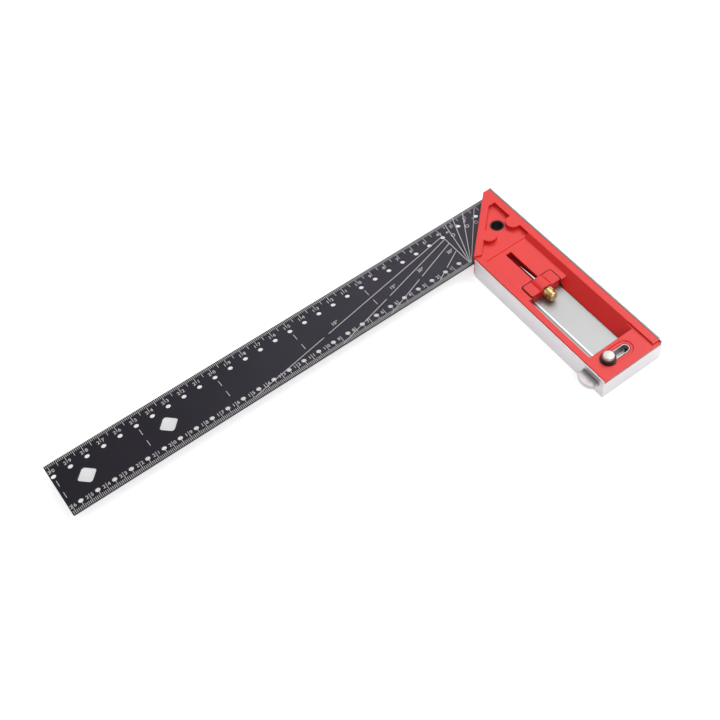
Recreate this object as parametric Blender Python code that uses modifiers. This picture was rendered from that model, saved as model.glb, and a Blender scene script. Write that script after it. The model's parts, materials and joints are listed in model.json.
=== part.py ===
"""A carpenter's try and mitre square with a scriber and a pull-out support ledge.

The aluminium handle is a channel on both sides of one web. A red moulded cover fills each channel,
and the blade is riveted to the web between them. The scriber is parked in a clip over the window in
the top cover, and a thumbscrew in a cross slot moves the ledge that holds the square level.

Everything is laid out from the heel corner: X runs along the blade from the zero of its outer
scale, Y runs from the blade's outer edge to the handle's end, and Z is up from the underside.
The parent empty then moves the middle of the object's base to the world origin.
"""

import math

import bmesh
import bpy

# Clearances
FIT = 0.0003  # between pieces that touch or slide
COVER_FIT = 0.0002  # beside a cover in its channel
CUT = 0.004  # how far a cutter runs past the face that it opens

# Blade
BLADE_LENGTH = 0.302
BLADE_WIDTH = 0.0365
BLADE_THICKNESS = 0.0012
BLADE_CORNER = 0.0006
OUTER_HOLE_ROW = 0.0087
INNER_HOLE_ROW = 0.0308
MARK_HOLE_RADIUS = 0.0015
SCALE_STEP = 0.010
FIRST_OUTER_HOLE = 4  # the first centimetre with a hole in the outer row
ROOT_HOLES = ((0.0142, 0.0080), (0.0273, 0.0075))  # between the protractor's lines
SQUARE_HOLE_SIDE = 0.0086
SQUARE_HOLE_CORNER = 0.0017
SQUARE_HOLES_FROM_TIP = (0.0167, 0.0665)
SQUARE_HOLE_ROW = 0.0190

# Handle
HANDLE_LENGTH = 0.150
HANDLE_WIDTH = 0.043
HANDLE_THICKNESS = 0.016
HANDLE_OVERHANG = 0.003  # how far its outer face lies behind the scale's zero
OUTER_WALL = 0.0012
FENCE_WALL = 0.0007
END_WALL = 0.0014
WEB_THICKNESS = 0.0020
MITRE_SHIFT = 0.0015  # the covers' mitre edge is the line Y = X - MITRE_SHIFT
MITRE_SETBACK = 0.0008  # the aluminium stops this far behind that edge
HEEL_CUT = 0.0010  # where the sharp tip of the mitre is cut off flat
FENCE_RELIEF = 0.0012  # how much lower the fence wall is than the outer wall

# Top cover
RIM_WIDTH = 0.0045
RIM_END_SETBACK = 0.0015
BOSS_RADIUS = 0.0047
STRIP_DROP = 0.0012  # the fence strip and the end zone, below the rims
STRIP_WIDTH = 0.0043
MITRE_FLOOR_DROP = 0.0026
CLIP_FLOOR_DROP = 0.0032
STEP_LINE = 0.0435
COVER_FLOOR = 0.0020
COVER_WALL = 0.0016
HANG_HOLE = (0.0120, 0.0258)
HANG_HOLE_RADIUS = 0.0042
EYELET_WALL = 0.0007
WINDOW_START = 0.0810
WINDOW_LENGTH = 0.0520
WINDOW_SLOPE = 0.0071  # how far the window's outer wall leans in from rim to web

# Bottom cover
BOTTOM_RIM = 0.0040
BOTTOM_RECESS = 0.0012

# Scriber and its clip
SCRIBER_X = 0.0204
KNOB_CLEARANCE = 0.0006  # between the knob and the web below it
NEEDLE_RADIUS = 0.0011
NEEDLE_POINT = 0.0570
NEEDLE_CONE = 0.0140
KNOB_RADIUS = 0.0033
KNOB_LENGTH = 0.0064
KNOB_CHAMFER = 0.0006
NEEDLE_IN_KNOB = 0.0042
CLIP_LENGTH = 0.0210
CLIP_DEPTH = 0.0092
CLIP_DROP = 0.0026
CLIP_CORNER = 0.0016
SADDLE_WIDTH = 0.0088
SADDLE_RISE = 0.0012
SADDLE_STEPS = 14
SLEEVE_WALL = 0.0010
SLEEVE_LENGTH = 0.0074
SLOT_WIDTH = 0.0037
SLOT_START = 0.0466
SLOT_CLEARANCE = 0.0015  # between the needle and the slot's floor

# Support ledge
LEDGE_WIDTH = 0.0120
LEDGE_THICKNESS = 0.0025
LEDGE_FROM_END = 0.0100  # its centre line, from the handle's end
LEDGE_REACH = 0.0065  # how far its nose stands out of the fence
LEDGE_LENGTH = 0.0357
LEDGE_NOSE_RADIUS = 0.0087
LEDGE_HOLE_RADIUS = 0.00125
LEDGE_HOLE_INSET = 0.0030
LEDGE_TRAVEL = 0.0120
THUMB_FROM_FENCE = 0.0122
THUMB_RADIUS = 0.0035
THUMB_HEIGHT = 0.0032
THUMB_STEM_RADIUS = 0.0019
THUMB_THREAD_RADIUS = 0.0012
WASHER_RADIUS = 0.0045
WASHER_THICKNESS = 0.0008
TRACK_DROP = 0.0006
TRACK_MARGIN = 0.0003
SLOT_END_ROOM = 0.0002
LINER_WALL = 0.0005

# Fasteners
SCREW_RADIUS = 0.0012
SCREW_HEAD_RADIUS = 0.0024
SCREW_HEAD_HEIGHT = 0.0014
SCREW_SINK = 0.0013  # how far its head lies above the underside
SCREW_SOCKET = 0.0009
SCREW_TOP_DROP = 0.0048
OUTER_BOSS = (0.0040, 0.0312)
MITRE_BOSS = (0.0218, 0.0306)
FENCE_SCREW = (0.0305, 0.0500)
WALL_SCREW_X = 0.0035
WALL_SCREW_INSET = 0.0100
RIVET_RADIUS = 0.0015
RIVET_HEAD_RADIUS = 0.0022
RIVET_HEAD_HEIGHT = 0.0008
RIVET_CROWN_RADIUS = 0.0015
RIVETS = ((0.0045, 0.0125), (0.0045, 0.0225), (0.0118, 0.0340), (0.0290, 0.0342))

# Levels and lines that follow from the sizes above
OUTER_FACE = -HANDLE_OVERHANG
FENCE = HANDLE_WIDTH - HANDLE_OVERHANG
CHANNEL_OUTER = OUTER_FACE + OUTER_WALL
CHANNEL_FENCE = FENCE - FENCE_WALL
CHANNEL_END = HANDLE_LENGTH - END_WALL
COVER_OUTER = CHANNEL_OUTER + COVER_FIT
COVER_FENCE = CHANNEL_FENCE - COVER_FIT
COVER_END = CHANNEL_END - COVER_FIT
RIM_INNER = COVER_OUTER + RIM_WIDTH
STRIP_INNER = COVER_FENCE - STRIP_WIDTH
BLADE_LOW = (HANDLE_THICKNESS - BLADE_THICKNESS) / 2
BLADE_TOP = BLADE_LOW + BLADE_THICKNESS
WEB_TOP = BLADE_LOW - FIT
WEB_LOW = WEB_TOP - WEB_THICKNESS
COVER_LOW = WEB_TOP + FIT
TOP = HANDLE_THICKNESS
STRIP_LEVEL = TOP - STRIP_DROP
STRIP_START = STRIP_INNER + RIM_WIDTH * math.sqrt(2) - MITRE_SHIFT
STRIP_FENCE_START = STRIP_START - STRIP_WIDTH / 2
MITRE_FLOOR = TOP - MITRE_FLOOR_DROP
CLIP_FLOOR = TOP - CLIP_FLOOR_DROP
TRACK_LEVEL = STRIP_LEVEL - TRACK_DROP
WINDOW_END = WINDOW_START + WINDOW_LENGTH
BOTTOM_TOP = WEB_LOW - FIT
CLIP_END = WINDOW_START - FIT
CLIP_START = CLIP_END - CLIP_DEPTH
KNOB_START = CLIP_END + FIT
SCRIBER_HEIGHT = WEB_TOP + KNOB_CLEARANCE + KNOB_RADIUS
SLOT_FLOOR = SCRIBER_HEIGHT - NEEDLE_RADIUS - SLOT_CLEARANCE
LEDGE_Y = HANDLE_LENGTH - LEDGE_FROM_END
LEDGE_NOSE = FENCE + LEDGE_REACH
LEDGE_TAIL = LEDGE_NOSE - LEDGE_LENGTH
LEDGE_TOP = COVER_LOW + LEDGE_THICKNESS
THUMB_X = FENCE - THUMB_FROM_FENCE
WASHER_LOW = TRACK_LEVEL + FIT
THUMB_LOW = WASHER_LOW + WASHER_THICKNESS + FIT
SLOT_RADIUS = THUMB_STEM_RADIUS + FIT
SCREW_HEAD_TOP = SCREW_SINK + SCREW_HEAD_HEIGHT
SCREW_TOP = TOP - SCREW_TOP_DROP
WALL_SCREWS = (WINDOW_START - WALL_SCREW_INSET, WINDOW_END - WALL_SCREW_INSET)
COVER_SCREWS = (OUTER_BOSS, MITRE_BOSS, FENCE_SCREW) + tuple((WALL_SCREW_X, y) for y in WALL_SCREWS)

BOX_CENTRE_X = (OUTER_FACE + BLADE_LENGTH) / 2
BOX_CENTRE_Y = HANDLE_LENGTH / 2

CIRCLE_STEPS = 32
SMALL_STEPS = 20
TINY_STEPS = 16
MARK_HOLE_STEPS = 12
SMOOTH_ANGLE = 35


# Scene, collections and materials

def clear_scene():
    for obj in list(bpy.data.objects):
        bpy.data.objects.remove(obj)


def new_collection(name):
    collection = bpy.data.collections.new(name)
    bpy.context.scene.collection.children.link(collection)
    return collection


def new_material(name, colour, roughness, metallic):
    material = bpy.data.materials.new(name)
    material.use_nodes = True
    shader = material.node_tree.nodes["Principled BSDF"]
    shader.inputs["Base Color"].default_value = (*colour, 1.0)
    shader.inputs["Roughness"].default_value = roughness
    shader.inputs["Metallic"].default_value = metallic
    return material


clear_scene()
PARTS = new_collection("speed_square")
CUTTERS = new_collection("cutters")
ORIGIN = bpy.data.objects.new("square_origin", None)
ORIGIN.location = (-BOX_CENTRE_X, -BOX_CENTRE_Y, 0)
PARTS.objects.link(ORIGIN)


# Outlines, as lists of (x, y) points

def arc(centre, radius, start, end, steps):
    """Points on a circle from one angle to another, in degrees."""
    angles = [math.radians(start + (end - start) * i / steps) for i in range(steps + 1)]
    return [(centre[0] + radius * math.cos(a), centre[1] + radius * math.sin(a)) for a in angles]


def circle(centre, radius, steps=CIRCLE_STEPS):
    return arc(centre, radius, 0, 360 * (steps - 1) / steps, steps - 1)


def rectangle(low, high):
    return [low, (high[0], low[1]), high, (low[0], high[1])]


def rounded_rectangle(low, high, radius, steps=5):
    corners = ((high[0] - radius, high[1] - radius, 0), (low[0] + radius, high[1] - radius, 90),
               (low[0] + radius, low[1] + radius, 180), (high[0] - radius, low[1] + radius, 270))
    points = []
    for x, y, turn in corners:
        points += arc((x, y), radius, turn, turn + 90, steps)
    return points


def rounded_diamond(centre, side, radius, steps=6):
    """A square that stands on its corner, with its corners rounded."""
    reach = (side / 2 - radius) * math.sqrt(2)
    points = []
    for turn in (0, 90, 180, 270):
        angle = math.radians(turn)
        middle = (centre[0] + reach * math.cos(angle), centre[1] + reach * math.sin(angle))
        points += arc(middle, radius, turn - 45, turn + 45, steps)
    return points


def mitred(outer, fence, end, shift, heel):
    """The handle's plan between two long sides, with its mitre on the line Y = X - shift."""
    return [(outer, heel), (heel + shift, heel), (fence, fence - shift), (fence, end), (outer, end)]


# Solids

def adopt(obj, collection, material):
    collection.objects.link(obj)
    obj.parent = ORIGIN
    if material:
        obj.data.materials.clear()
        obj.data.materials.append(material)
    return obj


def sheet_solid(outlines, low, high):
    """A mesh made from a flat filled outline; outlines after the first are its holes."""
    curve = bpy.data.curves.new("outline", "CURVE")
    curve.dimensions = "2D"
    curve.fill_mode = "BOTH"
    curve.extrude = (high - low) / 2
    for outline in outlines:
        spline = curve.splines.new("POLY")
        spline.points.add(len(outline) - 1)
        for point, (x, y) in zip(spline.points, outline):
            point.co = (x, y, 0, 1)
        spline.use_cyclic_u = True
    flat = bpy.data.objects.new("outline", curve)
    bpy.context.scene.collection.objects.link(flat)
    bpy.context.view_layer.update()
    graph = bpy.context.evaluated_depsgraph_get()
    mesh = bpy.data.meshes.new_from_object(flat.evaluated_get(graph))
    bpy.data.objects.remove(flat)
    shape = bmesh.new()
    shape.from_mesh(mesh)
    bmesh.ops.remove_doubles(shape, verts=shape.verts, dist=1e-6)
    bmesh.ops.translate(shape, verts=shape.verts, vec=(0, 0, (low + high) / 2))
    shape.to_mesh(mesh)
    shape.free()
    return mesh


def plate(name, outlines, low, high, material):
    mesh = sheet_solid(outlines, low, high)
    mesh.name = name
    return adopt(bpy.data.objects.new(name, mesh), PARTS, material)


def turned(name, profile, place, collection, material=None, turn=None):
    """A turned solid: profile is (radius, height) from top to bottom, placed by place and turn."""
    mesh = bpy.data.meshes.new(name)
    mesh.from_pydata([(r, 0, z) for r, z in profile], [(i, i + 1) for i in range(len(profile) - 1)], [])
    obj = bpy.data.objects.new(name, mesh)
    adopt(obj, collection, material)
    obj.location = place
    if turn:
        obj.rotation_euler = turn
    screw = obj.modifiers.new("turn", "SCREW")
    screw.steps = CIRCLE_STEPS
    screw.render_steps = CIRCLE_STEPS
    screw.merge_threshold = 0.00001
    screw.use_merge_vertices = True
    return obj


def hide_cutter(obj):
    obj.hide_render = True
    obj.display_type = "WIRE"
    return obj


def cutter(name, outlines, low, high):
    mesh = sheet_solid(outlines, low, high)
    mesh.name = name
    return hide_cutter(adopt(bpy.data.objects.new(name, mesh), CUTTERS, None))


def prism(name, front, back):
    """A cutter between two outlines that have their points in the same order."""
    count = len(front)
    faces = [range(count), range(count, 2 * count)]
    for i in range(count):
        after = (i + 1) % count
        faces.append((i, after, after + count, i + count))
    mesh = bpy.data.meshes.new(name)
    mesh.from_pydata(front + back, [], faces)
    shape = bmesh.new()
    shape.from_mesh(mesh)
    bmesh.ops.recalc_face_normals(shape, faces=shape.faces)
    shape.to_mesh(mesh)
    shape.free()
    return hide_cutter(adopt(bpy.data.objects.new(name, mesh), CUTTERS, None))


def combine(obj, other, operation):
    boolean = obj.modifiers.new(other.name, "BOOLEAN")
    boolean.operation = operation
    boolean.object = other
    boolean.solver = "EXACT"


def cut(obj, name, outlines, low, high):
    combine(obj, cutter(name, outlines, low, high), "DIFFERENCE")


def add(obj, name, outlines, low, high):
    combine(obj, cutter(name, outlines, low, high), "UNION")


def cut_circles(obj, name, centres, radius, low, high, steps=CIRCLE_STEPS):
    for number, centre in enumerate(centres):
        cut(obj, f"{name}_{number + 1}", [circle(centre, radius, steps)], low, high)


def shade_round(obj):
    """Smooth shading, with the sharper edges kept crisp."""
    bpy.context.view_layer.update()
    graph = bpy.context.evaluated_depsgraph_get()
    mesh = bpy.data.meshes.new_from_object(obj.evaluated_get(graph))
    obj.modifiers.clear()
    obj.data = mesh
    mesh.shade_smooth()
    mesh.set_sharp_from_angle(angle=math.radians(SMOOTH_ANGLE))
    return obj


# Blade

def mark_hole_centres():
    """A hole at each centimetre of the outer scale, and between those of the inner one."""
    outer_last = int((BLADE_LENGTH - MARK_HOLE_RADIUS) / SCALE_STEP)
    inner_count = int((BLADE_LENGTH - FENCE) / SCALE_STEP)
    outer = [(n * SCALE_STEP, OUTER_HOLE_ROW) for n in range(FIRST_OUTER_HOLE, outer_last + 1)]
    inner = [(FENCE + (n + 0.5) * SCALE_STEP, INNER_HOLE_ROW) for n in range(inner_count)]
    return outer + inner + list(ROOT_HOLES)


def make_blade(material):
    root = CHANNEL_OUTER + FIT
    heel = HEEL_CUT + FIT
    tip = BLADE_LENGTH - BLADE_CORNER
    edge = [(heel + MITRE_SHIFT, 0)]
    edge += arc((tip, BLADE_CORNER), BLADE_CORNER, 270, 360, 3)
    edge += arc((tip, BLADE_WIDTH - BLADE_CORNER), BLADE_CORNER, 0, 90, 3)
    edge += [(root, BLADE_WIDTH), (root, heel + FIT)]
    holes = [circle(c, MARK_HOLE_RADIUS, MARK_HOLE_STEPS) for c in mark_hole_centres()]
    for back in SQUARE_HOLES_FROM_TIP:
        centre = (BLADE_LENGTH - back, SQUARE_HOLE_ROW)
        holes.append(rounded_diamond(centre, SQUARE_HOLE_SIDE, SQUARE_HOLE_CORNER))
    holes.append(circle(HANG_HOLE, HANG_HOLE_RADIUS))
    holes += [circle(c, RIVET_RADIUS + FIT, TINY_STEPS) for c in RIVETS]
    holes += [circle(c, SCREW_RADIUS + FIT, TINY_STEPS) for c in (OUTER_BOSS, MITRE_BOSS)]
    return plate("blade", [edge] + holes, BLADE_LOW, BLADE_TOP, material)


# Handle

def make_handle_body(material):
    shift = MITRE_SHIFT - MITRE_SETBACK * math.sqrt(2)
    plan = mitred(OUTER_FACE, FENCE, HANDLE_LENGTH, shift, HEEL_CUT)
    body = plate("handle_body", [plan], 0, TOP - COVER_FIT, material)
    channel = [(CHANNEL_OUTER, -CUT), (CHANNEL_FENCE, -CUT),
               (CHANNEL_FENCE, CHANNEL_END), (CHANNEL_OUTER, CHANNEL_END)]
    cut(body, "upper_channel", [channel], WEB_TOP, TOP + CUT)
    cut(body, "lower_channel", [channel], -CUT, WEB_LOW)
    low_end = rectangle((CHANNEL_OUTER, STRIP_FENCE_START), (FENCE + CUT, HANDLE_LENGTH + CUT))
    cut(body, "low_walls", [low_end], TOP - FENCE_RELIEF, TOP + CUT)
    end_notch = rectangle((CHANNEL_OUTER, CHANNEL_END - CUT), (CHANNEL_FENCE, HANDLE_LENGTH + CUT))
    cut(body, "end_notch", [end_notch], STRIP_LEVEL - COVER_FLOOR - FIT, TOP + CUT)
    gate = rectangle((CHANNEL_FENCE - CUT, LEDGE_Y - LEDGE_WIDTH / 2 - FIT),
                     (FENCE + CUT, LEDGE_Y + LEDGE_WIDTH / 2 + FIT))
    cut(body, "ledge_gate", [gate], WEB_TOP, LEDGE_TOP + FIT)
    cut_circles(body, "web_hang_hole", [HANG_HOLE], HANG_HOLE_RADIUS, 0, TOP)
    cut_circles(body, "web_rivet_hole", RIVETS, RIVET_RADIUS + FIT, 0, TOP, TINY_STEPS)
    cut_circles(body, "web_screw_hole", COVER_SCREWS, SCREW_RADIUS + FIT, 0, TOP, TINY_STEPS)
    return body


# Covers

def make_top_cover(material):
    plan = mitred(COVER_OUTER, COVER_FENCE, COVER_END, MITRE_SHIFT, HEEL_CUT + FIT)
    cover = plate("top_cover", [plan], COVER_LOW, TOP, material)
    end_lip = rectangle((COVER_OUTER, COVER_END - CUT), (COVER_FENCE, HANDLE_LENGTH - COVER_FIT))
    add(cover, "end_lip", [end_lip], STRIP_LEVEL - COVER_FLOOR, TOP)
    cut_levels(cover)
    cut_mitre_recess(cover)
    cut_clip_zone(cover)
    cut_ledge_track(cover)
    cut_underside(cover)
    cut_circles(cover, "top_hang_hole", [HANG_HOLE], HANG_HOLE_RADIUS, 0, TOP + CUT)
    cut_circles(cover, "pilot_hole", COVER_SCREWS, SCREW_RADIUS + FIT, 0, SCREW_TOP + FIT, TINY_STEPS)
    return cover


def cut_levels(cover):
    """The fence strip and the end zone lie lower than the rims."""
    strip = [(STRIP_INNER, STRIP_START),
             (COVER_FENCE, STRIP_FENCE_START), (COVER_FENCE + CUT, STRIP_FENCE_START),
             (COVER_FENCE + CUT, HANDLE_LENGTH + CUT), (STRIP_INNER, HANDLE_LENGTH + CUT)]
    cut(cover, "fence_strip", [strip], STRIP_LEVEL, TOP + CUT)
    end_zone = rectangle((RIM_INNER, WINDOW_END - CUT), (STRIP_INNER + CUT, HANDLE_LENGTH + CUT))
    cut(cover, "end_zone", [end_zone], STRIP_LEVEL, TOP + CUT)
    rim_end = rectangle((OUTER_FACE - CUT, HANDLE_LENGTH - RIM_END_SETBACK), (FENCE, HANDLE_LENGTH + CUT))
    cut(cover, "rim_end", [rim_end], STRIP_LEVEL, TOP + CUT)


def cut_mitre_recess(cover):
    """The recess behind the mitre rim, with two screw bosses left standing at its edge."""
    inner = RIM_WIDTH * math.sqrt(2) - MITRE_SHIFT
    nose = RIM_INNER + inner + RIM_WIDTH
    wall = wall_section(MITRE_FLOOR)
    recess = [(RIM_INNER, nose), (nose - inner, nose), (STRIP_INNER, STRIP_INNER + inner),
              (STRIP_INNER, STEP_LINE), (STRIP_INNER - CUT, STEP_LINE + CUT),
              (wall + CUT, STEP_LINE + CUT), (wall, STEP_LINE), (RIM_INNER, STEP_LINE)]
    pocket = cutter("mitre_recess", [recess], MITRE_FLOOR, TOP + CUT)
    for number, centre in enumerate((OUTER_BOSS, MITRE_BOSS)):
        boss = cutter(f"boss_{number + 1}", [circle(centre, BOSS_RADIUS)], 0, TOP + 2 * CUT)
        combine(pocket, boss, "DIFFERENCE")
    combine(cover, pocket, "DIFFERENCE")


def wall_section(level):
    """Where the leaning outer wall stands at a level."""
    return RIM_INNER + WINDOW_SLOPE * (TOP - level) / (TOP - COVER_LOW)


def leaning_pocket():
    """A cutter for the clip zone and the window together, with one leaning outer wall."""
    side = [(STEP_LINE, CLIP_FLOOR), (WINDOW_START, CLIP_FLOOR), (WINDOW_START, COVER_LOW - CUT),
            (WINDOW_END, COVER_LOW - CUT), (WINDOW_END, TOP + CUT), (STEP_LINE, TOP + CUT)]
    wall = [(wall_section(z), y, z) for y, z in side]
    fence = [(STRIP_INNER, y, z) for y, z in side]
    return prism("clip_zone_and_window", wall, fence)


def cut_clip_zone(cover):
    """The lower floor behind the step, the window beyond it, and the seats of the scriber and clip."""
    combine(cover, leaning_pocket(), "DIFFERENCE")
    slot = rectangle((SCRIBER_X - SLOT_WIDTH / 2, SLOT_START), (SCRIBER_X + SLOT_WIDTH / 2, CLIP_START))
    cut(cover, "scriber_slot", [slot], SLOT_FLOOR, TOP + CUT)
    half = CLIP_LENGTH / 2 + FIT
    seat = rounded_rectangle((SCRIBER_X - half, CLIP_START - FIT), (SCRIBER_X + half, CLIP_END + CUT),
                             CLIP_CORNER)
    cut(cover, "clip_seat", [seat], 0, TOP + CUT)


def cut_ledge_track(cover):
    """The stem's slot, the washer's shallow track and, underneath, the channel for the ledge."""
    far = THUMB_X - LEDGE_TRAVEL
    slot = stadium(far - SLOT_END_ROOM, THUMB_X + SLOT_END_ROOM, SLOT_RADIUS + LINER_WALL + FIT)
    cut(cover, "cross_slot", [slot], 0, TOP + CUT)
    half = WASHER_RADIUS + TRACK_MARGIN
    cut(cover, "washer_track", [stadium(far, THUMB_X, half)], TRACK_LEVEL, TOP + CUT)
    channel = rectangle((COVER_OUTER - CUT, LEDGE_Y - LEDGE_WIDTH / 2 - FIT),
                        (COVER_FENCE + CUT, LEDGE_Y + LEDGE_WIDTH / 2 + FIT))
    cut(cover, "ledge_channel", [channel], 0, LEDGE_TOP + FIT)


def stadium(low, high, radius, steps=10):
    """A slot outline along X, centred on the ledge's line."""
    return (arc((high, LEDGE_Y), radius, -90, 90, steps)
            + arc((low, LEDGE_Y), radius, 90, 270, steps))


def cut_underside(cover):
    """Room for the blade and the rivet heads, and a hollow that leaves even walls."""
    over_blade = rectangle((COVER_OUTER - CUT, -CUT), (FENCE + CUT, BLADE_WIDTH + FIT))
    cut(cover, "over_blade", [over_blade], 0, BLADE_TOP + FIT)
    low = COVER_OUTER + COVER_WALL
    fence = COVER_FENCE - COVER_WALL
    end = STEP_LINE - COVER_WALL
    edge = COVER_WALL * math.sqrt(2) - MITRE_SHIFT
    hollow = [(low, low + edge + COVER_WALL), (low + COVER_WALL, low + edge + COVER_WALL),
              (fence, fence + edge), (fence, end), (low, end)]
    pocket = cutter("mitre_hollow", [hollow], 0, MITRE_FLOOR - COVER_FLOOR)
    posts = [(OUTER_BOSS, BOSS_RADIUS - COVER_WALL / 2), (MITRE_BOSS, BOSS_RADIUS - COVER_WALL / 2),
             (HANG_HOLE, HANG_HOLE_RADIUS + COVER_WALL)]
    for number, (centre, radius) in enumerate(posts):
        post = cutter(f"post_{number + 1}", [circle(centre, radius)], -CUT, TOP)
        combine(pocket, post, "DIFFERENCE")
    combine(cover, pocket, "DIFFERENCE")


def make_bottom_cover(material):
    plan = mitred(COVER_OUTER, COVER_FENCE, COVER_END, MITRE_SHIFT, HEEL_CUT + FIT)
    cover = plate("bottom_cover", [plan], 0, BOTTOM_TOP, material)
    inner = BOTTOM_RIM * math.sqrt(2) - MITRE_SHIFT
    low = COVER_OUTER + BOTTOM_RIM
    fence = COVER_FENCE - BOTTOM_RIM
    recess = [(low, low + inner + BOTTOM_RIM), (low + BOTTOM_RIM, low + inner + BOTTOM_RIM),
              (fence, fence + inner), (fence, COVER_END - BOTTOM_RIM), (low, COVER_END - BOTTOM_RIM)]
    cut(cover, "bottom_recess", [recess], -CUT, BOTTOM_RECESS)
    cut_circles(cover, "bottom_hang_hole", [HANG_HOLE], HANG_HOLE_RADIUS, -CUT, TOP)
    cut_circles(cover, "screw_way", COVER_SCREWS, SCREW_RADIUS + FIT, -CUT, TOP, TINY_STEPS)
    cut_circles(cover, "head_seat", COVER_SCREWS, SCREW_HEAD_RADIUS + FIT, -CUT, SCREW_HEAD_TOP + FIT)
    return cover


def make_hang_eyelet(material):
    """The black tube that lines the hanging hole."""
    outer = HANG_HOLE_RADIUS - FIT
    outlines = [circle(HANG_HOLE, outer), circle(HANG_HOLE, outer - EYELET_WALL)]
    return plate("hang_eyelet", outlines, FIT, MITRE_FLOOR, material)


# Scriber

def make_scriber_clip(material):
    half = CLIP_LENGTH / 2
    top = TOP - CLIP_DROP
    outline = rounded_rectangle((SCRIBER_X - half, CLIP_START), (SCRIBER_X + half, CLIP_END),
                                CLIP_CORNER - FIT)
    clip = plate("scriber_clip", [outline], COVER_LOW, top, material)
    combine(clip, arched_saddle(top), "UNION")
    bore = NEEDLE_RADIUS + FIT + SLEEVE_WALL + FIT
    combine(clip, rod_cutter("sleeve_bore", bore, CLIP_START - CUT, CLIP_END + CUT), "DIFFERENCE")
    return clip


def arched_saddle(top):
    """The hump over the needle, which rises out of the clip's flat top."""
    reach = SADDLE_WIDTH / 2
    low = top - COVER_FLOOR
    arch = [(SCRIBER_X + reach, low)]
    for step in range(SADDLE_STEPS + 1):
        angle = math.pi * step / SADDLE_STEPS
        height = top - FIT + (SADDLE_RISE + FIT) * math.sin(angle)
        arch.append((SCRIBER_X + reach * math.cos(angle), height))
    arch.append((SCRIBER_X - reach, low))
    front = [(x, CLIP_START + FIT, z) for x, z in arch]
    back = [(x, CLIP_END - FIT, z) for x, z in arch]
    return prism("saddle", front, back)


def rod_cutter(name, radius, start, end):
    """A round cutter along the scriber's axis."""
    shape = turned(name, [(0, end - start), (radius, end - start), (radius, 0), (0, 0)],
                   (SCRIBER_X, start, SCRIBER_HEIGHT), CUTTERS, turn=(-math.pi / 2, 0, 0))
    return hide_cutter(shape)


def make_sleeve(material):
    inner = NEEDLE_RADIUS + FIT
    outer = inner + SLEEVE_WALL
    start = CLIP_START + (CLIP_DEPTH - SLEEVE_LENGTH) / 2
    profile = [(inner, SLEEVE_LENGTH), (outer, SLEEVE_LENGTH), (outer, 0), (inner, 0),
               (inner, SLEEVE_LENGTH)]
    return turned("scriber_sleeve", profile, (SCRIBER_X, start, SCRIBER_HEIGHT), PARTS, material,
                  (-math.pi / 2, 0, 0))


def make_needle(material):
    tail = KNOB_START + NEEDLE_IN_KNOB - NEEDLE_POINT
    profile = [(0, tail), (NEEDLE_RADIUS, tail), (NEEDLE_RADIUS, NEEDLE_CONE), (0, 0)]
    needle = turned("scriber_needle", profile, (SCRIBER_X, NEEDLE_POINT, SCRIBER_HEIGHT), PARTS, material,
                    (-math.pi / 2, 0, 0))
    return shade_round(needle)


def make_scriber_knob(material):
    bore = NEEDLE_RADIUS + FIT
    small = KNOB_RADIUS - KNOB_CHAMFER
    profile = [(0, KNOB_LENGTH), (small, KNOB_LENGTH), (KNOB_RADIUS, KNOB_LENGTH - KNOB_CHAMFER),
               (KNOB_RADIUS, KNOB_CHAMFER), (small, 0), (bore, 0),
               (bore, NEEDLE_IN_KNOB + FIT), (0, NEEDLE_IN_KNOB + FIT)]
    knob = turned("scriber_knob", profile, (SCRIBER_X, KNOB_START, SCRIBER_HEIGHT), PARTS, material,
                  (-math.pi / 2, 0, 0))
    return shade_round(knob)


# Support ledge

def make_ledge_bar(material):
    half = LEDGE_WIDTH / 2
    spread = math.degrees(math.asin(half / LEDGE_NOSE_RADIUS))
    nose = arc((LEDGE_NOSE - LEDGE_NOSE_RADIUS, LEDGE_Y), LEDGE_NOSE_RADIUS, -spread, spread, 12)
    tail = arc((LEDGE_TAIL + half, LEDGE_Y), half, 90, 270, 16)
    holes = [circle((LEDGE_TAIL + LEDGE_HOLE_INSET, LEDGE_Y), LEDGE_HOLE_RADIUS, SMALL_STEPS),
             circle((THUMB_X, LEDGE_Y), THUMB_THREAD_RADIUS + FIT, SMALL_STEPS)]
    return plate("ledge_bar", [nose + tail] + holes, COVER_LOW, LEDGE_TOP, material)


def make_slot_liner(material):
    """The metal lining that the thumbscrew's stem runs in."""
    low = THUMB_X - LEDGE_TRAVEL - SLOT_END_ROOM
    high = THUMB_X + SLOT_END_ROOM
    outlines = [stadium(low, high, SLOT_RADIUS + LINER_WALL), stadium(low, high, SLOT_RADIUS)]
    return plate("slot_liner", outlines, LEDGE_TOP + FIT, TRACK_LEVEL, material)


def make_thumbscrew(material):
    height = THUMB_LOW + THUMB_HEIGHT
    edge = THUMB_RADIUS - KNOB_CHAMFER
    shoulder = LEDGE_TOP + FIT
    profile = [(0, height), (edge, height), (THUMB_RADIUS, height - KNOB_CHAMFER),
               (THUMB_RADIUS, THUMB_LOW), (THUMB_STEM_RADIUS, THUMB_LOW), (THUMB_STEM_RADIUS, shoulder),
               (THUMB_THREAD_RADIUS, shoulder), (THUMB_THREAD_RADIUS, COVER_LOW + FIT),
               (0, COVER_LOW + FIT)]
    return shade_round(turned("ledge_knob", profile, (THUMB_X, LEDGE_Y, 0), PARTS, material))


def make_washer(material):
    inner = THUMB_STEM_RADIUS + FIT
    profile = [(inner, WASHER_THICKNESS), (WASHER_RADIUS, WASHER_THICKNESS), (WASHER_RADIUS, 0), (inner, 0),
               (inner, WASHER_THICKNESS)]
    return turned("ledge_washer", profile, (THUMB_X, LEDGE_Y, WASHER_LOW), PARTS, material)


# Fasteners

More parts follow.
